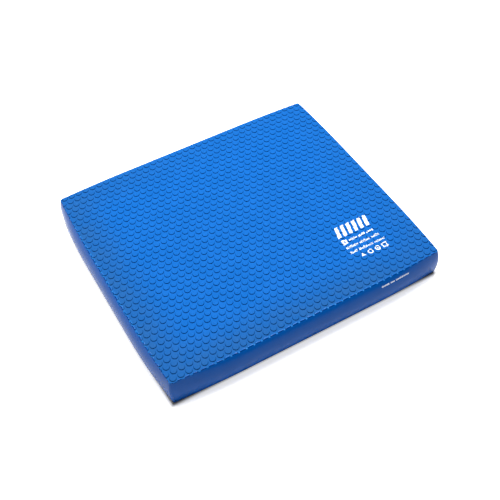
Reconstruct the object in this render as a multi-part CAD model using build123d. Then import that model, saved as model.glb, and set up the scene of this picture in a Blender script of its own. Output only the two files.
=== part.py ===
from build123d import *
from math import sqrt
import os

# Balance pad: one moulded slab of closed-cell foam. The foam is soft inside. Where it met the
# mould it closed to a dense skin, with raised round dots above and below and smooth rounded sides.
# White ink is printed on the top and in one small line on the front side.
#
# Frame: the origin is on the floor under the middle of the pad. +X runs along the long sides,
# +Y to the back and +Z up. The front, at -Y, is the side with the printed line.

# Driving dimensions, all in millimetres
LENGTH = 460.0  # along X, where the sides stand out furthest
WIDTH = 410.0  # along Y, where the sides stand out furthest
HEIGHT = 50.0  # from the dots underneath to the dots on top
SIDE_BULGE = 9.0  # how far a side stands out past the creases above and below it

TOP_SKIN = 1.5  # dense skin under the dots on top
BASE_SKIN = 1.5  # dense skin above the dots underneath
SIDE_SKIN = 2.0  # dense skin round the sides

DOT_DIAMETER = 8.8
DOT_RISE = 1.3  # how far the dots stand out of the skin
DOT_PITCH = 11.8  # from dot to dot along a row, along X
ROW_PITCH = 9.94  # from row to row, along Y
FIRST_DOT_X = 4.0  # from the left crease to the first centre
FIRST_DOT_Y = -0.7  # from the front crease to the first centre, which lies just outside it
DOTS_TURN = 0.1  # degrees; the pattern sits a little crooked on the pad
SMALLEST_CUT_DOT = 0.15  # a dot that a crease cuts to less than this share is left out

INK = 0.1  # depth of the ink, which lies flush in the skin
SMALLEST_INK = 0.03  # mm3; a sliver of ink that a dot cuts smaller than this is left out
PRINT_RIGHT_INSET = 54.0  # from the right crease to the right end of the printed block
PRINT_FRONT_INSET = 49.0  # from the front crease to the foot of the printed block
PRINT_WIDTH = 60.0

TITLE_BARS = 6
TITLE_HEIGHT = 20.0
TITLE_GAP = 4.4  # between two bars
TITLE_SLANT = 5.0  # how far a bar's head leans to the right of its foot
TITLE_FOOT = 48.0  # above the foot of the block, as are the next two

LINE_HEIGHT = 3.0
LINE_FEET = (36.5, 25.0, 14.5)
WORD_GAP = 3.0
LINE_WORDS = ((14.0, 11.0, 12.0), (20.0, 17.0, 15.0), (12.0, 24.0, 18.0))
BADGE = 8.5  # side of the square that stands before the first line
BADGE_HOLE = 3.6  # diameter

SYMBOL_INDENT = 10.0  # from the left end of the block to the first symbol
SYMBOL_SIZE = 8.5
SYMBOL_STROKE = 1.4
SYMBOL_GAP = 4.0

SIDE_WORDS = (13.0, 7.0, 23.0)
SIDE_WORD_GAP = 2.5
SIDE_LINE_HEIGHT = 2.2
SIDE_LINE_DROP = 8.0  # from the top down to the middle of the line
SIDE_LINE_RIGHT_INSET = 60.0  # from the right crease to the right end of the line

# What follows from the dimensions
CUTTER_MARGIN = 5.0  # how far a cutting prism runs past what it cuts
middle_height = HEIGHT / 2
side_radius = (middle_height**2 + SIDE_BULGE**2) / (2 * SIDE_BULGE)
crease_x = LENGTH / 2 - SIDE_BULGE
crease_y = WIDTH / 2 - SIDE_BULGE
core_bottom = DOT_RISE + BASE_SKIN
valley = HEIGHT - DOT_RISE  # the level of the skin between the dots on top
core_top = valley - TOP_SKIN


def side_reach(span, height, inset=0.0):
    """From the middle of the pad to its rounded side, at one height above the floor."""
    arc = sqrt((side_radius - inset) ** 2 - (height - middle_height) ** 2)
    return span / 2 - side_radius + arc


def side_profile(span, bottom, top, inset):
    """The pad's section between two levels, with an arc at each end."""
    half_height = (bottom + top) / 2
    foot = (side_reach(span, bottom, inset), bottom)
    waist = (side_reach(span, half_height, inset), half_height)
    head = (side_reach(span, top, inset), top)
    right_side = ThreePointArc(foot, waist, head)
    left_side = mirror(right_side, Plane.YZ)
    floor_line = Line(left_side @ 0, right_side @ 0)
    top_line = Line(left_side @ 1, right_side @ 1)
    return make_face(Curve() + [right_side, top_line, left_side, floor_line])


def slab(bottom, top, inset=0.0):
    """The pad between two levels: two rounded prisms crossed, which mitres its corners."""
    along_y = Plane.XZ * side_profile(LENGTH, bottom, top, inset)
    along_x = Plane.YZ * side_profile(WIDTH, bottom, top, inset)
    lengthwise = extrude(along_x, amount=LENGTH / 2 + CUTTER_MARGIN, both=True)
    crosswise = extrude(along_y, amount=WIDTH / 2 + CUTTER_MARGIN, both=True)
    return lengthwise & crosswise


def dot_centres():
    """Staggered rows, from the front left corner until the creases stop them."""
    rows = int((2 * crease_y + DOT_DIAMETER - FIRST_DOT_Y) / ROW_PITCH) + 1
    columns = int((2 * crease_x + DOT_DIAMETER - FIRST_DOT_X) / DOT_PITCH) + 2
    turn = Rot(0, 0, DOTS_TURN)
    centres = []
    for row in range(rows):
        stagger = -DOT_PITCH / 2 if row % 2 else 0.0
        for column in range(columns):
            x = -crease_x + FIRST_DOT_X + stagger + column * DOT_PITCH
            y = -crease_y + FIRST_DOT_Y + row * ROW_PITCH
            centre = (turn * Pos(x, y, 0)).position
            centres.append((centre.X, centre.Y))
    return centres


def make_dots():
    """The dots on top. A crease cuts the outermost ones flush with the side."""
    layer = slab(valley, HEIGHT)
    radius = DOT_DIAMETER / 2
    whole = Pos(0, 0, (valley + HEIGHT) / 2) * Cylinder(radius, DOT_RISE)
    dots = []
    for x, y in dot_centres():
        if abs(x) - radius > crease_x or abs(y) - radius > crease_y:
            continue
        dot = Pos(x, y, 0) * whole
        if abs(x) + radius > crease_x or abs(y) + radius > crease_y:
            cut = dot & layer
            if cut is None or cut.volume < SMALLEST_CUT_DOT * whole.volume:
                continue
            dots.append(cut.solids()[0])
        else:
            dots.append(dot)
    return dots


def slanted_bar(x, y, width, height, slant):
    corners = [(x, y), (x + width, y), (x + width + slant, y + height), (x + slant, y + height)]
    return Polygon(*corners, align=None)


def word_bars(x, y, words, gap, height):
    """A line of plain bars, each as long as a word."""
    bars = []
    for word in words:
        bars.append(Pos(x + word / 2, y + height / 2) * Rectangle(word, height))
        x += word + gap
    return bars


def title_outlines(left, foot):
    """A row of bold slanted bars."""
    room = PRINT_WIDTH - TITLE_SLANT - (TITLE_BARS - 1) * TITLE_GAP
    width = room / TITLE_BARS
    bars = []
    for bar in range(TITLE_BARS):
        x = left + bar * (width + TITLE_GAP)
        bars.append(slanted_bar(x, foot + TITLE_FOOT, width, TITLE_HEIGHT, TITLE_SLANT))
    return bars


def line_outlines(left, foot):
    """Three lines of bars, the first after a square badge with a round hole."""
    first, second, third = (foot + height for height in LINE_FEET)
    badge = Pos(left + BADGE / 2, first + LINE_HEIGHT / 2)
    outlines = [badge * (Rectangle(BADGE, BADGE) - Circle(BADGE_HOLE / 2))]
    first_left = left + BADGE + WORD_GAP
    outlines += word_bars(first_left, first, LINE_WORDS[0], WORD_GAP, LINE_HEIGHT)
    outlines += word_bars(left, second, LINE_WORDS[1], WORD_GAP, LINE_HEIGHT)
    outlines += word_bars(left, third, LINE_WORDS[2], WORD_GAP, LINE_HEIGHT)
    return outlines


def symbol_outlines(left, foot):
    """A row of plain outlines: a triangle, a ring, a ring round a dot, a square."""
    half = SYMBOL_SIZE / 2
    inner = half - SYMBOL_STROKE
    ring = Circle(half) - Circle(inner)
    target = ring + Circle(inner / 2)
    square = Rectangle(SYMBOL_SIZE, SYMBOL_SIZE) - Rectangle(2 * inner, 2 * inner)
    triangle = RegularPolygon(half, 3, rotation=90)
    triangle -= RegularPolygon(half - 2 * SYMBOL_STROKE, 3, rotation=90)
    outlines = []
    for place, shape in enumerate((triangle, ring, target, square)):
        x = left + SYMBOL_INDENT + half + place * (SYMBOL_SIZE + SYMBOL_GAP)
        outlines.append(Pos(x, foot + half) * shape)
    return outlines


def near_to(dot, box):
    """Whether a dot can meet an outline that has this box."""
    middle = dot.center()
    across = box.min.X - DOT_DIAMETER < middle.X < box.max.X + DOT_DIAMETER
    along = box.min.Y - DOT_DIAMETER < middle.Y < box.max.Y + DOT_DIAMETER
    return across and along


def ink_on_top(outlines, dots):
    """Ink as deep as INK, in the dots' faces and in the skin between the dots."""
    pieces = []
    for outline in outlines:
        near = [dot for dot in dots if near_to(dot, outline.bounding_box())]
        on_dots = extrude(Pos(0, 0, HEIGHT - INK) * outline, amount=INK)
        between = extrude(Pos(0, 0, valley - INK) * outline, amount=INK)
        pieces += [on_dots & dot for dot in near]
        pieces.append(between.cut(*[Pos(0, 0, -DOT_RISE) * dot for dot in near]))
    solids = [solid for piece in pieces if piece is not None for solid in piece.solids()]
    return [solid for solid in solids if solid.volume > SMALLEST_INK]


def make_side_ink():
    """The small line on the front side, as deep as INK in the curved skin."""
    line_width = sum(SIDE_WORDS) + (len(SIDE_WORDS) - 1) * SIDE_WORD_GAP
    left = crease_x - SIDE_LINE_RIGHT_INSET - line_width
    foot = HEIGHT - SIDE_LINE_DROP - SIDE_LINE_HEIGHT / 2
    bars = word_bars(left, foot, SIDE_WORDS, SIDE_WORD_GAP, SIDE_LINE_HEIGHT)
    film = slab(core_bottom, core_top) - slab(core_bottom, core_top, INK)
    solids = []
    for bar in bars:
        prism = extrude(Plane.XZ * bar, amount=WIDTH / 2 + CUTTER_MARGIN)
        solids += (film & prism).solids()
    return solids


def write(node, shape):
    """Write one sub-part as parts/NODE.step."""
    solids = shape if isinstance(shape, list) else shape.solids()
    kept = solids[0] if len(solids) == 1 else Compound(children=solids)
    kept.label = node
    export_step(kept, f"parts/{node}.step")
    print(f"{node}: {len(solids)} solids, {sum(solid.volume for solid in solids):.0f} mm3")


os.makedirs("parts", exist_ok=True)

foam_core = slab(core_bottom, core_top, SIDE_SKIN)
side_skin = slab(core_bottom, core_top) - foam_core

dots = make_dots()
top_skin = slab(core_top, valley).fuse(*dots)
upright_base = slab(HEIGHT - core_bottom, valley).fuse(*dots)
base_skin = mirror(upright_base, Plane.XY.offset(middle_height))

print_left = crease_x - PRINT_RIGHT_INSET - PRINT_WIDTH
print_foot = -crease_y + PRINT_FRONT_INSET
title_ink = ink_on_top(title_outlines(print_left, print_foot), dots)
line_ink = ink_on_top(line_outlines(print_left, print_foot), dots)
symbol_ink = ink_on_top(symbol_outlines(print_left, print_foot), dots)
side_ink = make_side_ink()

top_skin = top_skin.cut(*title_ink, *line_ink, *symbol_ink)
side_skin = side_skin.cut(*side_ink)

write("foam_core", foam_core)
write("top_skin", top_skin)
write("base_skin", base_skin)
write("side_skin", side_skin)
write("title_print", title_ink)
write("line_print", line_ink)
write("symbol_print", symbol_ink)
write("side_print", side_ink)
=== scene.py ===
# %% [markdown]
# # A balance pad
#
# A balance pad is a slab of soft foam that somebody stands on to train their ankles and their
# balance. It is moulded in one go: inside it is full of tiny closed cells, and where the foam met
# the mould it closed to a dense skin. The mould gave that skin its raised round dots, so that a
# foot doesn't slip, and its smooth, rounded sides.
#
# This file builds the pad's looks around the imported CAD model. All lengths are in metres.

# %% Load the frame
import math
import random

import bmesh
import bpy
from mathutils import Matrix, Vector


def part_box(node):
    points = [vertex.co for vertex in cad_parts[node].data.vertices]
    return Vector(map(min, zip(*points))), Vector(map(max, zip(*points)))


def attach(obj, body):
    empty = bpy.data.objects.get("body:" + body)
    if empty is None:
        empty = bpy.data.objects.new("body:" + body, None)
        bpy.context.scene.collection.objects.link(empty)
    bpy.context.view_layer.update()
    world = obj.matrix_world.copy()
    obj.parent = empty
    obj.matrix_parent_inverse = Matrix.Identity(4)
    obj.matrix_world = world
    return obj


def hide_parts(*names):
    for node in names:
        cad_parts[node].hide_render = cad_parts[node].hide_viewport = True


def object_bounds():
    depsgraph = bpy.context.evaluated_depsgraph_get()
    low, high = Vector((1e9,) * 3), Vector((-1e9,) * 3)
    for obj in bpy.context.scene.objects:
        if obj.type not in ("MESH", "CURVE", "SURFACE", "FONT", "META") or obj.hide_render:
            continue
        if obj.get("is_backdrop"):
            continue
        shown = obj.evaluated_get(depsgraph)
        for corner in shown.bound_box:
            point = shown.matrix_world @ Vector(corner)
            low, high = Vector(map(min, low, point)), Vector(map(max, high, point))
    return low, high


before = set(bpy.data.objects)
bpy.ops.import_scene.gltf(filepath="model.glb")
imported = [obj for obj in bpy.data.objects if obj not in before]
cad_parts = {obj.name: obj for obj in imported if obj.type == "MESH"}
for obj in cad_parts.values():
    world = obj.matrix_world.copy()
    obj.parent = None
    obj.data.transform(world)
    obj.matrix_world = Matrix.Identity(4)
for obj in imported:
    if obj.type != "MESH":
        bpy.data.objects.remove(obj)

cad_low, cad_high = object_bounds()
print("the CAD model's box:", tuple(cad_low), tuple(cad_high))

# %% [markdown]
# ## Sizes
#
# The frame says how large the pad is and where the skin ends and the soft core begins. The rest
# are sizes of the moulding itself. Writing them once, with a name, keeps every later step honest:
# when a size changes here, all that depends on it follows.

# %% Sizes from the frame, and the sizes of the moulding
MM = 0.001
TINY = 0.01 * MM  # two points nearer than this are one point

length, width, height = cad_high - cad_low
core_low, core_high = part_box("foam_core")
side_skin = cad_high.x - core_high.x
middle = height / 2

SIDE_BULGE = 9 * MM  # how far a side stands out past the creases above and below it
DOT_PITCH = 11.8 * MM  # from dot to dot along a row
ROW_PITCH = 9.94 * MM  # from row to row
DOT_RISE = 1.3 * MM
FIRST_DOT_X = 4.0 * MM  # from the left crease to the first centre
FIRST_DOT_Y = -0.7 * MM  # from the front crease to the first centre
DOTS_TURN = math.radians(0.1)  # the rows aren't quite in line with the front side

side_radius = (middle**2 + SIDE_BULGE**2) / (2 * SIDE_BULGE)
crease_x = length / 2 - SIDE_BULGE
crease_y = width / 2 - SIDE_BULGE
valley = height - DOT_RISE
print(f"length {length:.3f}, width {width:.3f}, height {height:.3f}, side radius {side_radius:.4f}")

# %% [markdown]
# ## Camera
#
# The camera comes first, because it decides what matters. It stands in front of the pad and to
# its left, looks down at about fifty degrees and is rolled by a hair, as when somebody holds it
# by hand. A longish lens keeps the far side from shrinking too much.

# %% Camera
CAMERA_PLACE = Vector((-0.3912, -0.7632, 1.0110))
CAMERA_HEADING = math.radians(27.75)  # clockwise from +Y, seen from above
CAMERA_DIP = math.radians(50.01)  # below the horizon
CAMERA_ROLL = math.radians(-2.68)
LENS = 61.57  # millimetres, on a 36 mm sensor

camera_data = bpy.data.cameras.new("camera")
camera_data.lens = LENS
camera_data.sensor_width = 36
camera = bpy.data.objects.new("camera", camera_data)
bpy.context.scene.collection.objects.link(camera)
turn = Matrix.Rotation(-CAMERA_HEADING, 4, "Z")
tilt = Matrix.Rotation(math.radians(90) - CAMERA_DIP, 4, "X")
roll = Matrix.Rotation(CAMERA_ROLL, 4, "Z")
camera.matrix_world = Matrix.Translation(CAMERA_PLACE) @ turn @ tilt @ roll
bpy.context.scene.camera = camera
print("camera at", tuple(CAMERA_PLACE), "looking along", tuple(-camera.matrix_world.col[2].xyz))

# %% [markdown]
# ## Helpers for working by hand in code
#
# An operator works on whatever is selected, just as a tool does in the window. So each step says
# first which object it means, and in edit mode which points. These small helpers do that, and
# nothing else.


# %% Helpers: one object, its edit mode, and picking points by their place
def only(piece):
    """Make this the only selected object, and the active one."""
    bpy.ops.object.select_all(action="DESELECT")
    piece.select_set(True)
    bpy.context.view_layer.objects.active = piece


def edit(piece):
    only(piece)
    bpy.ops.object.mode_set(mode="EDIT")
    bpy.ops.mesh.select_mode(type="VERT")


def done():
    bpy.ops.object.mode_set(mode="OBJECT")


def pick(piece, wanted):
    """In edit mode, select the points whose place passes the test, and nothing else."""
    bpy.ops.mesh.select_all(action="DESELECT")
    mesh = bmesh.from_edit_mesh(piece.data)
    for point in mesh.verts:
        point.select_set(bool(wanted(point.co)))
    mesh.select_flush(True)
    bmesh.update_edit_mesh(piece.data)


def apply_modifier(piece, kind, **settings):
    only(piece)
    modifier = piece.modifiers.new(kind.lower(), kind)
    for name, value in settings.items():
        setattr(modifier, name, value)
    bpy.ops.object.modifier_apply(modifier=modifier.name)


def copy_of(piece, name):
    """A copy with a mesh of its own."""
    twin = piece.copy()
    twin.data = piece.data.copy()
    twin.name = name
    twin.data.name = name
    bpy.context.scene.collection.objects.link(twin)
    return twin


def count(piece):
    triangles = sum(len(face.vertices) - 2 for face in piece.data.polygons)
    print(f"{piece.name}: {len(piece.data.polygons)} faces, {triangles} triangles")


# %% [markdown]
# ## The outside of the moulding
#
# Seen from above, the pad isn't a true rectangle. Its sides run straight in the middle and are
# drawn in a little towards each corner, as foam may do when it cools and shrinks unevenly. Seen
# from the end, each side is an arc that stands out at half height.
#
# A block with a bevel would give flat sides with round edges, which is the wrong shape. Instead
# the form is lofted, as a boat's hull is: one outline for each height, then faces from outline
# to outline. Each outline starts as a plane. Its four corner points are drawn in with
# proportional editing, which takes their neighbours along, less and less with distance.

# %% Sizes of the outline
CREASE_PULL = 3 * MM  # how far the corners are drawn in, at the creases
WAIST_PULL = 9.2 * MM  # the same where the side stands out furthest
PULL_REACH = 120 * MM  # how far along a side that is felt
CORNER_ROUND = 3.5 * MM
CREASE_ROUND = 0.9 * MM
SIDE_STEPS = 10  # from half height to a crease
SIDE_CUTS = 35  # points along each side of an outline
lean_at_crease = math.asin(middle / side_radius)


def corner_zone(place):
    """Whether a point of an outline is one of its four corners."""
    apart = length / (SIDE_CUTS + 1) / 2
    near_x = abs(place.x) > crease_x - CREASE_PULL - apart
    near_y = abs(place.y) > crease_y - CREASE_PULL - apart
    return near_x and near_y


def add_outline(lean, inset):
    """The pad's outline where its side leans by this angle, as a loop of edges."""
    drop = side_radius - (side_radius - inset) * math.cos(lean)
    level = middle + (side_radius - inset) * math.sin(lean)
    share = side_radius * (1 - math.cos(lean)) / SIDE_BULGE
    pull = share * CREASE_PULL + (1 - share) * WAIST_PULL
    half_x = length / 2 - drop
    half_y = width / 2 - drop
    bpy.ops.mesh.primitive_plane_add(size=2, location=(0, 0, level))
    outline = bpy.context.object
    edit(outline)
    bpy.ops.mesh.select_all(action="SELECT")
    bpy.ops.transform.resize(value=(half_x, half_y, 1), center_override=(0, 0, level))
    bpy.ops.mesh.delete(type="ONLY_FACE")
    bpy.ops.mesh.select_all(action="SELECT")
    bpy.ops.mesh.subdivide(number_cuts=SIDE_CUTS)
    pick(outline, lambda place: abs(place.x) > half_x - TINY and abs(place.y) > half_y - TINY)
    bpy.ops.transform.resize(
        value=(1 - pull / half_x, 1 - pull / half_y, 1),
        center_override=(0, 0, level),
        use_proportional_edit=True,
        proportional_edit_falloff="SHARP",
        proportional_size=PULL_REACH,
    )
    done()
    return outline


def loft(name, first_lean, last_lean, steps, inset=0.0):
    """A closed form through outlines from one lean of the side to another."""
    leans = [first_lean + (last_lean - first_lean) * step / steps for step in range(steps + 1)]
    outlines = [add_outline(lean, inset) for lean in leans]
    only(outlines[0])
    for outline in outlines:
        outline.select_set(True)
    bpy.ops.object.join()
    form = bpy.context.object
    form.name = name
    form.data.name = name
    bpy.ops.object.transform_apply(location=True, rotation=True, scale=True)
    levels = [middle + (side_radius - inset) * math.sin(lean) for lean in leans]
    edit(form)
    for low, high in zip(levels, levels[1:]):
        pick(form, lambda place: low - TINY < place.z < high + TINY)
        bpy.ops.mesh.bridge_edge_loops()
    for level in (levels[0], levels[-1]):
        pick(form, lambda place: abs(place.z - level) < TINY)
        bpy.ops.mesh.edge_face_add()
    bpy.ops.mesh.select_all(action="SELECT")
    bpy.ops.mesh.normals_make_consistent(inside=False)
    done()
    return form


# %% The moulding's outside, with its corners and creases rounded
bpy.ops.object.select_all(action="DESELECT")
outside = loft("outside", -lean_at_crease, lean_at_crease, 2 * SIDE_STEPS)
edit(outside)
pick(outside, corner_zone)
bpy.ops.mesh.bevel(offset=CORNER_ROUND, segments=4, affect="EDGES")
for level in (0, height):
    pick(outside, lambda place: abs(place.z - level) < TINY)
    bpy.ops.mesh.bevel(offset=CREASE_ROUND, segments=3, affect="EDGES")
done()
count(outside)

# %% [markdown]
# ## The dots
#
# Each dot is the cast of a shallow round pit in the mould. Such pits could be drilled into it, in
# staggered rows. A dot isn't a plain cylinder: its wall slopes and its rim is rounded. Its face
# is made a little hollow here, as foam often sinks a little when it cools.
#
# There are about 1,500 dots on a face, so each has to be light. One cell of the pattern is a
# stretched hexagon with a dot in it. Two cells make a tile, and two Array modifiers repeat the
# tile and weld it into one sheet of skin, so the dots are part of the surface and not buttons
# laid on it.

# %% One cell: a hexagon of skin with a dot in it
DOT_SIDES = 12
FOOT_RADIUS = 5.1 * MM  # where the wall rises out of the skin
DOT_PROFILE = ((4.8, 0.25), (4.45, 1.05), (4.1, 1.3))  # radius and height above the skin, in millimetres
DOT_HOLLOW = 0.2 * MM
CORNERS_OF_A_HEXAGON = 6


def add_cell():
    """A hexagon of skin and its dot, the skin at height nought."""
    bpy.ops.mesh.primitive_circle_add(vertices=CORNERS_OF_A_HEXAGON, radius=1)
    cell = bpy.context.object
    edit(cell)
    bpy.ops.mesh.select_all(action="SELECT")
    across = DOT_PITCH / 2 / math.cos(math.radians(30))
    along = ROW_PITCH / 1.5
    bpy.ops.transform.resize(value=(across, along, 1), center_override=(0, 0, 0))
    bpy.ops.mesh.subdivide(number_cuts=DOT_SIDES // CORNERS_OF_A_HEXAGON - 1)
    bpy.ops.mesh.primitive_circle_add(vertices=DOT_SIDES, radius=FOOT_RADIUS)
    bpy.ops.mesh.select_all(action="SELECT")
    bpy.ops.mesh.bridge_edge_loops()
    pick(cell, lambda place: place.length < FOOT_RADIUS + TINY)
    radius, rise = FOOT_RADIUS, 0.0
    for next_radius, next_rise in DOT_PROFILE:
        up = {"value": (0, 0, next_rise * MM - rise)}
        bpy.ops.mesh.extrude_region_move(TRANSFORM_OT_translate=up)
        ratio = next_radius * MM / radius
        bpy.ops.transform.resize(value=(ratio, ratio, 1), center_override=(0, 0, 0))
        radius, rise = next_radius * MM, next_rise * MM
    bpy.ops.mesh.edge_face_add()
    bpy.ops.mesh.select_mode(type="FACE")
    bpy.ops.mesh.poke(offset=-DOT_HOLLOW)
    done()
    return cell


sheet = add_cell()
sheet.name = "dotted_sheet"
count(sheet)

# %% Two cells make a tile, and the tile repeats
columns = math.ceil(2 * crease_x / DOT_PITCH) + 4  # two to spare at each end
row_pairs = math.ceil(crease_y / ROW_PITCH) + 2
first_x = -crease_x + FIRST_DOT_X - 2 * DOT_PITCH
first_y = -crease_y + FIRST_DOT_Y - 2 * ROW_PITCH

edit(sheet)
bpy.ops.mesh.select_all(action="SELECT")
step = {"value": (DOT_PITCH / 2, ROW_PITCH, 0)}
bpy.ops.mesh.duplicate_move(TRANSFORM_OT_translate=step)
bpy.ops.mesh.select_all(action="SELECT")
bpy.ops.transform.translate(value=(first_x, first_y, valley))
done()
weld = {"use_relative_offset": False, "use_constant_offset": True, "use_merge_vertices": True}
apply_modifier(
    sheet, "ARRAY", count=columns, constant_offset_displace=(DOT_PITCH, 0, 0), merge_threshold=TINY, **weld
)
apply_modifier(
    sheet,
    "ARRAY",
    count=row_pairs,
    constant_offset_displace=(0, 2 * ROW_PITCH, 0),
    merge_threshold=TINY,
    **weld,
)
edit(sheet)
bpy.ops.mesh.select_all(action="SELECT")
bpy.ops.mesh.remove_doubles(threshold=TINY)
bpy.ops.transform.rotate(value=-DOTS_TURN, orient_axis="Z", center_override=(0, 0, 0))
done()
print("first dot of the sheet before the turn:", first_x, first_y)
count(sheet)

# %% [markdown]
# ## The top skin
#
# The sheet is larger than the pad, and it is only a surface. Its border is drawn down to the
# level where the skin meets the soft core and closed there, which makes a solid plate. Then the
# plate is cut to shape with the outside of the moulding. That cuts the outermost dots flush
# with the side, as on the real pad, where the creases run straight through them.

# %% The top skin: the sheet made solid, then cut by the outside
DOTTED, SMOOTH = 0, 1  # the two finishes, as material slots of the skins
LEVEL = 0.99  # a face whose normal is steeper than this counts as level
for piece in (sheet, outside):
    piece.data.materials.clear()
    for _ in (DOTTED, SMOOTH):
        piece.data.materials.append(None)
for face in outside.data.polygons:
    face.material_index = DOTTED if abs(face.normal.z) > LEVEL else SMOOTH

edit(sheet)
bpy.ops.mesh.select_all(action="DESELECT")
bpy.ops.mesh.select_non_manifold(use_wire=False, use_multi_face=False, use_non_contiguous=False)
down = {"value": (0, 0, core_high.z - valley)}
bpy.ops.mesh.extrude_region_move(TRANSFORM_OT_translate=down)
bpy.ops.mesh.edge_face_add()
bpy.ops.mesh.select_all(action="SELECT")
bpy.ops.mesh.normals_make_consistent(inside=False)
done()
top_skin = sheet
top_skin.name = "top_skin_dotted"
apply_modifier(top_skin, "BOOLEAN", operation="INTERSECT", object=outside, solver="MANIFOLD")
count(top_skin)

# %% The base skin is the same shape, upside down
base_skin = copy_of(top_skin, "base_skin_dotted")
edit(base_skin)
bpy.ops.mesh.select_all(action="SELECT")
bpy.ops.transform.resize(value=(1, 1, -1), center_override=(0, 0, middle))
bpy.ops.mesh.normals_make_consistent(inside=False)
done()
count(base_skin)

# %% [markdown]
# ## The side skin and the core
#
# The side skin is what is left of the outside between the two plates, made as thick as the
# frame says. The core is lofted like the outside, a skin's thickness further in. It is never
# seen, but a pad with nothing in it wouldn't be a pad.

# %% The side skin
side = copy_of(outside, "side_skin_smooth")
edit(side)
for level, outwards in ((core_high.z, 1), (core_low.z, -1)):
    bpy.ops.mesh.select_all(action="SELECT")
    bpy.ops.mesh.bisect(plane_co=(0, 0, level), plane_no=(0, 0, outwards), clear_outer=True)
done()
apply_modifier(side, "SOLIDIFY", thickness=side_skin, offset=-1)
count(side)

# %% The core
core_lean = math.asin((core_high.z - middle) / (side_radius - side_skin))
core = loft("core_foam", -core_lean, core_lean, 2 * SIDE_STEPS, side_skin)
count(core)

# %% [markdown]
# ## The printing
#
# White ink is printed on the top, in a block near the front right corner, and in one small line
# on the front side. The ink lies in the valleys and over the dots alike. Here its marks are
# plain bars and shapes: no words.
#
# A flat mark laid over the dots would bridge the valleys, so each mark starts as a prism that
# stands through the skin. A copy of the skin, lifted by the thickness of the ink, is cut to the
# prisms, and then the skin itself is cut away from below it. What is left is a film of ink that
# follows every dot.

# %% Sizes of the print
INK = 0.06 * MM
PRINT_LEFT = crease_x - 114 * MM
PRINT_FOOT = -crease_y + 49 * MM
TITLE_FOOT = 48 * MM
TITLE_HEIGHT = 20 * MM
TITLE_BARS = 6
TITLE_BAR = 5.5 * MM
TITLE_GAP = 4.4 * MM
TITLE_SLANT = 5 * MM
LINE_FEET = (36.5 * MM, 25 * MM, 14.5 * MM)
LINE_HEIGHT = 3 * MM
LINE_WORDS = ((14, 11, 12), (20, 17, 15), (12, 24, 18))  # millimetres
WORD_GAP = 3 * MM
BADGE = 8.5 * MM
BADGE_HOLE = 3.6 * MM
SYMBOL_INDENT = 10 * MM
SYMBOL_SIZE = 8.5 * MM
SYMBOL_STROKE = 1.4 * MM
SYMBOL_GAP = 4 * MM
SIDE_WORDS = (13, 7, 23)  # millimetres
SIDE_WORD_GAP = 2.5 * MM
SIDE_LINE_HEIGHT = 2.2 * MM
SIDE_LINE_MIDDLE = height - 8 * MM  # above the floor
SIDE_LINE_RIGHT = crease_x - 60 * MM
THROUGH_SKIN = 4 * MM  # how tall a prism is that stands through the dots and the valleys
THROUGH_SIDE = 20 * MM  # the same for the side, which is curved
ROUND_SIDES = 32
chance = random.Random(7)


# %% Prisms that stand through the skin
def start_marks(name):
    """An empty mesh in edit mode, to which marks are added."""
    marks = bpy.data.objects.new(name, bpy.data.meshes.new(name))
    bpy.context.scene.collection.objects.link(marks)
    edit(marks)
    return marks


def add_block(place, size):
    bpy.ops.mesh.primitive_cube_add(size=1, location=place)
    bpy.ops.transform.resize(value=size, center_override=place)


def add_bar(left, foot, wide, high):
    add_block((left + wide / 2, foot + high / 2, valley), (wide, high, THROUGH_SKIN))


def add_slanted_bar(marks, left, foot, wide, high, slant):
    add_bar(left, foot, wide, high)
    mesh = bmesh.from_edit_mesh(marks.data)
    for point in mesh.verts:
        point.select_set(point.select and point.co.y > foot + high / 2)
    mesh.select_flush(True)
    bmesh.update_edit_mesh(marks.data)
    bpy.ops.transform.translate(value=(slant, 0, 0))


def add_ring(middle_x, middle_y, radius, stroke, sides, turned=0.0):
    """A round or cornered ring: both ends of a prism are inset, then joined by a tunnel."""
    place = (middle_x, middle_y, valley)
    bpy.ops.mesh.primitive_cylinder_add(
        vertices=sides, radius=radius, depth=THROUGH_SKIN, location=place, rotation=(0, 0, turned)
    )
    mesh = bmesh.from_edit_mesh(bpy.context.edit_object.data)
    for face in mesh.faces:
        face.select_set(face.select and abs(face.normal.z) > 0.5)
    bmesh.update_edit_mesh(bpy.context.edit_object.data)
    bpy.ops.mesh.select_mode(type="FACE")
    bpy.ops.mesh.inset(thickness=stroke)
    bpy.ops.mesh.bridge_edge_loops()
    bpy.ops.mesh.select_mode(type="VERT")


def uneven_blocks(left, wide, shortest, longest, gap, least, heights):
    """A word as a row of uneven blocks: the left end, length and share of the height of each.

    The blocks' lengths, the gap and the least are in millimetres. A block only starts where more
    than the least of the word is left. The small unevenness reads as print from afar.
    """
    x = left
    while x < left + wide - least * MM:
        block = min(chance.uniform(shortest, longest) * MM, left + wide - x)
        yield x, block, chance.choice(heights)
        x += block + gap * MM


def finish_marks():
    bpy.ops.mesh.select_all(action="SELECT")
    bpy.ops.mesh.normals_make_consistent(inside=False)
    done()


def print_film(name, skin, marks, lift):
    """A film of ink on the skin, wherever the marks stand. The lift is its thickness."""
    ink = copy_of(skin, name)
    edit(ink)
    bpy.ops.mesh.select_all(action="SELECT")
    bpy.ops.transform.translate(value=lift)
    done()
    apply_modifier(ink, "BOOLEAN", operation="INTERSECT", object=marks, solver="MANIFOLD")
    apply_modifier(ink, "BOOLEAN", operation="DIFFERENCE", object=skin, solver="MANIFOLD")
    bpy.data.objects.remove(marks, do_unlink=True)
    count(ink)
    return ink


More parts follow.
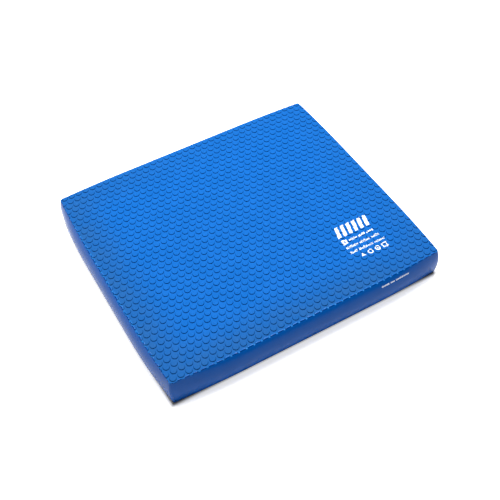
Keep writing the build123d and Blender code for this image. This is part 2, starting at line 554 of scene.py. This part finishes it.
# %% The title: bold slanted bars
marks = start_marks("title_marks")
for bar in range(TITLE_BARS):
    left = PRINT_LEFT + bar * (TITLE_BAR + TITLE_GAP)
    add_slanted_bar(marks, left, PRINT_FOOT + TITLE_FOOT, TITLE_BAR, TITLE_HEIGHT, TITLE_SLANT)
finish_marks()
title_ink = print_film("title_ink", top_skin, marks, (0, 0, INK))

# %% Three lines of small blocks, the first after a square badge with a round hole
marks = start_marks("line_marks")
for words, line_foot in zip(LINE_WORDS, LINE_FEET):
    left = PRINT_LEFT
    if line_foot == LINE_FEET[0]:
        badge_foot = PRINT_FOOT + line_foot + LINE_HEIGHT / 2 - BADGE / 2
        add_bar(left, badge_foot, BADGE, BADGE)
        left += BADGE + WORD_GAP
    for word in words:
        blocks = uneven_blocks(
            left, word * MM, shortest=1.1, longest=2.2, gap=0.7, least=1, heights=(0.8, 0.8, 1.2)
        )
        for x, block, high in blocks:
            add_bar(x, PRINT_FOOT + line_foot, block, LINE_HEIGHT * high)
        left += word * MM + WORD_GAP
finish_marks()
line_ink = print_film("line_ink", top_skin, marks, (0, 0, INK))
badge_middle = (PRINT_LEFT + BADGE / 2, PRINT_FOOT + LINE_FEET[0] + LINE_HEIGHT / 2, valley)
bpy.ops.mesh.primitive_cylinder_add(
    vertices=ROUND_SIDES, radius=BADGE_HOLE / 2, depth=2 * THROUGH_SKIN, location=badge_middle
)
hole_cutter = bpy.context.object
apply_modifier(line_ink, "BOOLEAN", operation="DIFFERENCE", object=hole_cutter, solver="MANIFOLD")
bpy.data.objects.remove(hole_cutter, do_unlink=True)
count(line_ink)

# %% Symbols: a triangle, a ring, a ring round a dot and a square
marks = start_marks("symbol_marks")
TRIANGLE, RING = (3, 0, False), (ROUND_SIDES, 0, False)  # sides, turn, and whether it has a dot
RING_AND_DOT, SQUARE = (ROUND_SIDES, 0, True), (4, math.radians(45), False)
symbols = (TRIANGLE, RING, RING_AND_DOT, SQUARE)
for place, (sides, turned, has_dot) in enumerate(symbols):
    radius = SYMBOL_SIZE / 2 * (math.sqrt(2) if sides == 4 else 1)
    x = PRINT_LEFT + SYMBOL_INDENT + SYMBOL_SIZE / 2 + place * (SYMBOL_SIZE + SYMBOL_GAP)
    y = PRINT_FOOT + SYMBOL_SIZE / 2
    add_ring(x, y, radius, SYMBOL_STROKE, sides, turned)
    if has_dot:
        bpy.ops.mesh.primitive_cylinder_add(
            vertices=ROUND_SIDES // 2,
            radius=SYMBOL_STROKE,
            depth=THROUGH_SKIN,
            location=(x, y, valley),
        )
finish_marks()
symbol_ink = print_film("symbol_ink", top_skin, marks, (0, 0, INK))

# %% The small line on the front side
marks = start_marks("side_marks")
left = SIDE_LINE_RIGHT - sum(SIDE_WORDS) * MM - (len(SIDE_WORDS) - 1) * SIDE_WORD_GAP
for word in SIDE_WORDS:
    blocks = uneven_blocks(
        left, word * MM, shortest=0.8, longest=1.7, gap=0.5, least=0.5, heights=(0.8, 0.8, 1.1)
    )
    for x, block, high in blocks:
        size = (block, THROUGH_SIDE, SIDE_LINE_HEIGHT * high)
        add_block((x + block / 2, -crease_y, SIDE_LINE_MIDDLE), size)
    left += word * MM + SIDE_WORD_GAP
finish_marks()
side_ink = print_film("side_ink", side, marks, (0, -INK, 0))

# %% [markdown]
# ## Smooth shading
#
# The dots have only twelve sides, yet they should look round, and their faces should still look
# flat. Smooth shading alone would make domes of them. So each corner's normal follows the larger
# of the faces that meet there, and the small bevels take up the turn.

# %% Smooth shading, with each corner's normal led by its larger faces
SHARP = math.radians(75)  # an edge that turns by more than this stays sharp
skins = (top_skin, base_skin)
inks = (title_ink, line_ink, symbol_ink, side_ink)
for piece in (*skins, side, core, *inks):
    only(piece)
    bpy.ops.object.shade_smooth_by_angle(angle=SHARP)
for piece in (*skins, title_ink, line_ink, symbol_ink):
    apply_modifier(piece, "WEIGHTED_NORMAL", keep_sharp=True, mode="FACE_AREA")


# %% [markdown]
# ## Finishes
#
# The pad is one colour all through, but its surface isn't one finish. The dotted faces are matt
# and the sides have a soft shine, as if that part of the mould had been polished. Towards the
# edges the blue is duller.
#
# The pits and the edge masks are needed by more than one finish. So each is a node group with
# named sockets, built once and given its own numbers in each material. A group only says how
# strong an effect is at each place. The colours stay in the material.


# %% Shared effects as node groups
def new_group(name, inputs, outputs):
    group = bpy.data.node_groups.new(name, "ShaderNodeTree")
    for socket, value in inputs.items():
        made = group.interface.new_socket(socket, in_out="INPUT", socket_type="NodeSocketFloat")
        made.default_value = value
    for socket in outputs:
        group.interface.new_socket(socket, in_out="OUTPUT", socket_type="NodeSocketFloat")
    start = group.nodes.new("NodeGroupInput")
    end = group.nodes.new("NodeGroupOutput")
    return group, start, end


def add_math(tree, operation, first, second=None):
    """A Math node. Each operand is a socket or a number."""
    node = tree.nodes.new("ShaderNodeMath")
    node.operation = operation
    for socket, operand in zip(node.inputs, (first, second)):
        if isinstance(operand, (int, float)):
            socket.default_value = operand
        elif operand is not None:
            tree.links.new(operand, socket)
    return node.outputs[0]


def add_map(tree, value, low, high, new_low, new_high, smooth=True):
    node = tree.nodes.new("ShaderNodeMapRange")
    node.interpolation_type = "SMOOTHSTEP" if smooth else "LINEAR"
    operands = (value, low, high, new_low, new_high)
    for name, operand in zip(("Value", "From Min", "From Max", "To Min", "To Max"), operands):
        if isinstance(operand, (int, float)):
            node.inputs[name].default_value = operand
        else:
            tree.links.new(operand, node.inputs[name])
    return node.outputs["Result"]


def add_noise(tree, scale, detail):
    """Noise on the object's own coordinates. The scale is in waves per metre."""
    place = tree.nodes.new("ShaderNodeTexCoord")
    node = tree.nodes.new("ShaderNodeTexNoise")
    node.inputs["Detail"].default_value = detail
    if isinstance(scale, (int, float)):
        node.inputs["Scale"].default_value = scale
    else:
        tree.links.new(scale, node.inputs["Scale"])
    tree.links.new(place.outputs["Object"], node.inputs["Vector"])
    return node.outputs["Fac"]


# %% [markdown]
# ## The closed cells
#
# Foam is full of tiny bubbles, and the skin over them is thin. That can give it fine pits and
# cloudy patches of tone. Rounded Voronoi cells stand for the pits, and noise in much longer
# waves for the patches.

# %% The closed cells just under the skin: fine pits, and cloudy patches of tone
cells, cells_in, cells_out = new_group(
    "closed cells", {"Cells per metre": 1300.0, "Patches per metre": 45.0}, ("Pits", "Patches")
)
place = cells.nodes.new("ShaderNodeTexCoord")
bubbles = cells.nodes.new("ShaderNodeTexVoronoi")
cells.links.new(place.outputs["Object"], bubbles.inputs["Vector"])
cells.links.new(cells_in.outputs["Cells per metre"], bubbles.inputs["Scale"])
cells.links.new(add_map(cells, bubbles.outputs["Distance"], 0.0, 0.55, 0.0, 1.0), cells_out.inputs["Pits"])
cells.links.new(add_noise(cells, cells_in.outputs["Patches per metre"], 3.0), cells_out.inputs["Patches"])

# %% [markdown]
# ## Duller edges
#
# The blue is made duller towards the edges, most of all at the front and on the left. The mask
# measures how far a place is from the nearest crease, and fades out over a reach that each
# material sets. A very short reach makes the thin lighter line where the dotted face ends, a
# painted highlight standing in for the light that the rounded crease catches.

# %% Duller edges: a mask that grows towards the creases
DULLING_AT_BACK_RIGHT = 0.25  # how strong the mask still is there, when it is 1 at the front left
DULLING_FADES = (-0.12, 0.2)  # where that change starts and ends, as the sum of X and Y
dulling, dulling_in, dulling_out = new_group("rubbed edges", {"Reach": 0.05}, ("Mask",))
place = dulling.nodes.new("ShaderNodeTexCoord")
split = dulling.nodes.new("ShaderNodeSeparateXYZ")
dulling.links.new(place.outputs["Object"], split.inputs["Vector"])
gap_x = add_math(dulling, "SUBTRACT", crease_x, add_math(dulling, "ABSOLUTE", split.outputs["X"]))
gap_y = add_math(dulling, "SUBTRACT", crease_y, add_math(dulling, "ABSOLUTE", split.outputs["Y"]))
mask_x = add_map(dulling, gap_x, 0.0, dulling_in.outputs["Reach"], 1.0, 0.0)
mask_y = add_map(dulling, gap_y, 0.0, dulling_in.outputs["Reach"], 1.0, 0.0)
keep_x = add_math(dulling, "SUBTRACT", 1.0, mask_x)
keep_y = add_math(dulling, "SUBTRACT", 1.0, mask_y)
mask = add_math(dulling, "SUBTRACT", 1.0, add_math(dulling, "MULTIPLY", keep_x, keep_y))
towards_back_right = add_math(dulling, "ADD", split.outputs["X"], split.outputs["Y"])
more_at_front_left = add_map(dulling, towards_back_right, *DULLING_FADES, 1.0, DULLING_AT_BACK_RIGHT)
mask = add_math(dulling, "MULTIPLY", mask, more_at_front_left)
dulling.links.new(mask, dulling_out.inputs["Mask"])


# %% [markdown]
# ## Dot walls
#
# Seen from afar, the steep wall of a dot is thinner than anything a picture can show well, and
# the shade in the corner below it gets lost. A darker tone on the wall stands in for that shade.
# It is a painter's trick and not a colour that the foam has.

# %% Dot walls: a mask for the heights between the valleys and the dots' faces
WALL_MARGIN = 0.1 * MM  # the mask keeps this far from the valleys and from the faces
walls, walls_in, walls_out = new_group("dot walls", {"Edge": 0.0003}, ("Mask",))
place = walls.nodes.new("ShaderNodeTexCoord")
split = walls.nodes.new("ShaderNodeSeparateXYZ")
walls.links.new(place.outputs["Object"], split.inputs["Vector"])
from_middle = add_math(walls, "ABSOLUTE", add_math(walls, "SUBTRACT", split.outputs["Z"], middle))
edge = walls_in.outputs["Edge"]
foot_level = valley - middle + WALL_MARGIN
head_level = height - middle - WALL_MARGIN
above = add_map(walls, from_middle, foot_level, add_math(walls, "ADD", foot_level, edge), 0.0, 1.0)
below = add_map(walls, from_middle, add_math(walls, "SUBTRACT", head_level, edge), head_level, 1.0, 0.0)
walls.links.new(add_math(walls, "MULTIPLY", above, below), walls_out.inputs["Mask"])


# %% [markdown]
# ## The foot of the sides
#
# Little light gets under the rounded side. One mask on the height above the floor darkens the
# lowest six millimetres: painted shade, standing in for the shadow where the side meets the floor.

# %% Painted shade on the foot of the sides
FOOT_SHADE = 0.9  # how strong the mask is at the floor
painted_foot_shade, painted_foot_shade_in, painted_foot_shade_out = new_group("floor grime", {"Height": 0.006}, ("Mask",))
place = painted_foot_shade.nodes.new("ShaderNodeTexCoord")
split = painted_foot_shade.nodes.new("ShaderNodeSeparateXYZ")
painted_foot_shade.links.new(place.outputs["Object"], split.inputs["Vector"])
low_down = add_map(painted_foot_shade, split.outputs["Z"], 0.001, painted_foot_shade_in.outputs["Height"], FOOT_SHADE, 0.0)
painted_foot_shade.links.new(low_down, painted_foot_shade_out.inputs["Mask"])


# %% [markdown]
# ## Putting the finishes together
#
# Every foam finish is built the same way: a base colour, then the duller edge, the patches, the
# pits, the dot walls and the foot, each mixed over the one before. Only the numbers differ.

# %% One function for every foam finish
def add_group(tree, group, **settings):
    node = tree.nodes.new("ShaderNodeGroup")
    node.node_tree = group
    for name, value in settings.items():
        node.inputs[name.replace("_", " ")].default_value = value
    return node


def add_mix(tree, share, first, second):
    """Mix two colours, each a socket or three numbers."""
    node = tree.nodes.new("ShaderNodeMix")
    node.data_type = "RGBA"
    colour_inputs = [socket for socket in node.inputs if socket.type == "RGBA"]
    for socket, colour in zip(colour_inputs, (first, second)):
        if isinstance(colour, tuple):
            socket.default_value = (*colour, 1)
        else:
            tree.links.new(colour, socket)
    tree.links.new(share, node.inputs["Factor"])
    return next(socket for socket in node.outputs if socket.type == "RGBA")


def darker(colour, share):
    return tuple(share * part for part in colour)


def foam_finish(name, colour, dull, reach, roughness, gloss, pit_depth, crease_highlight=None):
    """Moulded foam skin: its colour, the dull colour towards its edges, and its pits."""
    material = bpy.data.materials.new(name)
    material.use_nodes = True
    tree = material.node_tree
    shader = tree.nodes["Principled BSDF"]
    shader.inputs["Specular IOR Level"].default_value = gloss
    grain = add_group(tree, cells)
    edges = add_group(tree, dulling, Reach=reach)
    dulled = add_mix(tree, edges.outputs["Mask"], colour, dull)
    # Painted highlight: a lighter line along the creases, standing in for light caught on the rounded
    # crease
    if crease_highlight:
        rim = add_group(tree, dulling, Reach=CREASE_HIGHLIGHT_WIDTH)
        highlight_share = add_math(tree, "MULTIPLY", rim.outputs["Mask"], CREASE_HIGHLIGHT_SHARE)
        dulled = add_mix(tree, highlight_share, dulled, crease_highlight)
    patch_share = add_map(tree, grain.outputs["Patches"], 0.35, 0.65, 0.0, 0.35)
    tinted = add_mix(tree, patch_share, dulled, darker(colour, 0.86))
    pit_share = add_map(tree, grain.outputs["Pits"], 0.0, 1.0, 0.25, 0.0)
    pitted = add_mix(tree, pit_share, tinted, darker(colour, 0.6))
    wall_share = add_map(tree, add_group(tree, walls).outputs["Mask"], 0.0, 1.0, 0.0, WALL_SHADE)
    shaded = add_mix(tree, wall_share, pitted, darker(colour, 0.3))
    # Painted shade on the lowest millimetres of the sides, standing in for the shadow by the floor
    painted_foot_shade_share = add_group(tree, painted_foot_shade).outputs["Mask"]
    foot_shaded = add_mix(tree, painted_foot_shade_share, shaded, darker(colour, 0.2))
    tree.links.new(foot_shaded, shader.inputs["Base Color"])
    rough = add_map(tree, grain.outputs["Patches"], 0.3, 0.7, roughness - 0.05, roughness + 0.05)
    tree.links.new(rough, shader.inputs["Roughness"])
    bump = tree.nodes.new("ShaderNodeBump")
    bump.inputs["Distance"].default_value = pit_depth
    bump.inputs["Strength"].default_value = 0.5
    tree.links.new(grain.outputs["Pits"], bump.inputs["Height"])
    tree.links.new(bump.outputs["Normal"], shader.inputs["Normal"])
    return material


# %% The three foam finishes
WALL_SHADE = 0.85
# Painted highlight along the creases: its width, its strength and its colour
CREASE_HIGHLIGHT_WIDTH = 2.5 * MM
CREASE_HIGHLIGHT_SHARE = 0.7
CREASE_HIGHLIGHT_BLUE = (0.03, 0.22, 0.60)
BLUE = (0.004, 0.112, 0.430)
DULL_BLUE = (0.012, 0.092, 0.29)
SIDE_BLUE = (0.0, 0.098, 0.45)
DULL_SIDE_BLUE = (0.0, 0.095, 0.43)
dotted_finish = foam_finish(
    "dotted foam skin",
    BLUE,
    DULL_BLUE,
    reach=0.07,
    roughness=0.6,
    gloss=0.03,
    pit_depth=0.05 * MM,
    crease_highlight=CREASE_HIGHLIGHT_BLUE,
)
smooth_finish = foam_finish(
    "smooth foam skin",
    SIDE_BLUE,
    DULL_SIDE_BLUE,
    reach=0.02,
    roughness=0.18,
    gloss=0.14,
    pit_depth=0.01 * MM,
)
core_finish = foam_finish(
    "foam core", BLUE, BLUE, reach=0.02, roughness=0.9, gloss=0.1, pit_depth=0.1 * MM
)

# %% [markdown]
# ## White ink
#
# The ink is a thin white film. The blue shows through it in small patches where it lies thinnest.

# %% White ink, and which finish each piece gets
WHITE = (0.85, 0.88, 0.92)
THIN_WHITE = (0.35, 0.5, 0.8)
ink_finish = bpy.data.materials.new("white ink")
ink_finish.use_nodes = True
tree = ink_finish.node_tree
shader = tree.nodes["Principled BSDF"]
shader.inputs["Specular IOR Level"].default_value = 0.3
grain = add_group(tree, cells, Patches_per_metre=400.0)
thin = add_map(tree, grain.outputs["Patches"], 0.5, 0.75, 0.0, 0.5)
tree.links.new(add_mix(tree, thin, WHITE, THIN_WHITE), shader.inputs["Base Color"])
tree.links.new(add_map(tree, grain.outputs["Pits"], 0.0, 1.0, 0.6, 0.45), shader.inputs["Roughness"])

for piece in skins:
    piece.data.materials[DOTTED] = dotted_finish
    piece.data.materials[SMOOTH] = smooth_finish
for piece, finish in ((side, smooth_finish), (core, core_finish), *((ink, ink_finish) for ink in inks)):
    piece.data.materials.clear()
    piece.data.materials.append(finish)
    piece.data.polygons.foreach_set("material_index", [0] * len(piece.data.polygons))

# %% [markdown]
# ## Floor and light
#
# The floor is plain white card. It also glows for the camera alone, so that it goes white as a
# studio sweep does, and yet throws no more light on the pad's sides than card would. Right beside
# the pad it doesn't glow, or the glow would wash out the dark line where the pad touches it.

# %% Floor
FLOOR_SIZE = 12
FLOOR_GLOW = 0.7
CONTACT_SHADOW = (-3 * MM, 4.5 * MM)  # past the creases: where the glow starts, and where it is full
bpy.ops.mesh.primitive_plane_add(size=FLOOR_SIZE, location=(0, 0, 0))
floor = bpy.context.object
floor.name = "floor"
card = bpy.data.materials.new("white card")
card.use_nodes = True
tree = card.node_tree
shader = tree.nodes["Principled BSDF"]
shader.inputs["Base Color"].default_value = (0.9, 0.9, 0.9, 1)
shader.inputs["Roughness"].default_value = 0.9
shader.inputs["Specular IOR Level"].default_value = 0.0
glow = tree.nodes.new("ShaderNodeEmission")
both = tree.nodes.new("ShaderNodeAddShader")
place = tree.nodes.new("ShaderNodeTexCoord")
split = tree.nodes.new("ShaderNodeSeparateXYZ")
tree.links.new(place.outputs["Object"], split.inputs["Vector"])
past_x = add_math(tree, "SUBTRACT", add_math(tree, "ABSOLUTE", split.outputs["X"]), crease_x)
past_y = add_math(tree, "SUBTRACT", add_math(tree, "ABSOLUTE", split.outputs["Y"]), crease_y)
clear_of_pad = add_math(tree, "MAXIMUM", past_x, past_y)
strength = add_map(tree, clear_of_pad, CONTACT_SHADOW[0], CONTACT_SHADOW[1], 0.0, FLOOR_GLOW)
tree.links.new(strength, glow.inputs["Strength"])
path = tree.nodes.new("ShaderNodeLightPath")
choice = tree.nodes.new("ShaderNodeMixShader")
tree.links.new(shader.outputs["BSDF"], both.inputs[0])
tree.links.new(glow.outputs["Emission"], both.inputs[1])
tree.links.new(path.outputs["Is Camera Ray"], choice.inputs[0])
tree.links.new(shader.outputs["BSDF"], choice.inputs[1])
tree.links.new(both.outputs["Shader"], choice.inputs[2])
tree.links.new(choice.outputs["Shader"], tree.nodes["Material Output"].inputs["Surface"])
floor.data.materials.append(card)
floor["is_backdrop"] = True
bpy.data.objects.remove(outside, do_unlink=True)

# %% [markdown]
# ## Light
#
# One large soft lamp stands above the pad, and somewhat behind it. Light from behind is what
# makes the dots readable: the wall of each dot that faces the camera falls into shade. A faint
# even light from all round keeps the shades from going black.

# %% Light
ROOM_LIGHT = 0.06
world = bpy.data.worlds.new("studio")
bpy.context.scene.world = world
world.use_nodes = True
world.node_tree.nodes["Background"].inputs["Color"].default_value = (1, 1, 1, 1)
world.node_tree.nodes["Background"].inputs["Strength"].default_value = ROOM_LIGHT


def add_lamp(name, place, size, power):
    lamp_data = bpy.data.lights.new(name, "AREA")
    lamp_data.shape = "SQUARE"
    lamp_data.size = size
    lamp_data.energy = power
    lamp = bpy.data.objects.new(name, lamp_data)
    bpy.context.scene.collection.objects.link(lamp)
    lamp.location = place
    lamp.rotation_euler = (-Vector(place)).to_track_quat("-Z", "Y").to_euler()
    print(name, "at", place, "with", power, "watts")


add_lamp("overhead", place=(0.3, 0.75, 2.3), size=2.0, power=138)
bpy.context.scene.view_settings.view_transform = "Standard"

# %% [markdown]
# ## Handing the pieces over
#
# Each piece says which body it moves with, which part of the CAD model it stands for and which
# of the record's material slots its finish belongs to. The pad has one body, so all ride on it.

# %% Join the pieces to the frame
stands_for = (
    (top_skin, "top_skin", "top_skin"),
    (base_skin, "base_skin", "base_skin"),
    (side, "side_skin", "side_skin"),
    (core, "foam_core", "foam"),
    (title_ink, "title_print", "ink"),
    (line_ink, "line_print", "ink"),
    (symbol_ink, "symbol_print", "ink"),
    (side_ink, "side_print", "ink"),
)
for piece, node, slot in stands_for:
    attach(piece, "root")
    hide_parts(node)

# %% Print the sizes, and finish
low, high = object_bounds()
sizes = {"cad": [list(cad_low), list(cad_high)], "visual": [list(low), list(high)]}
print(sizes)
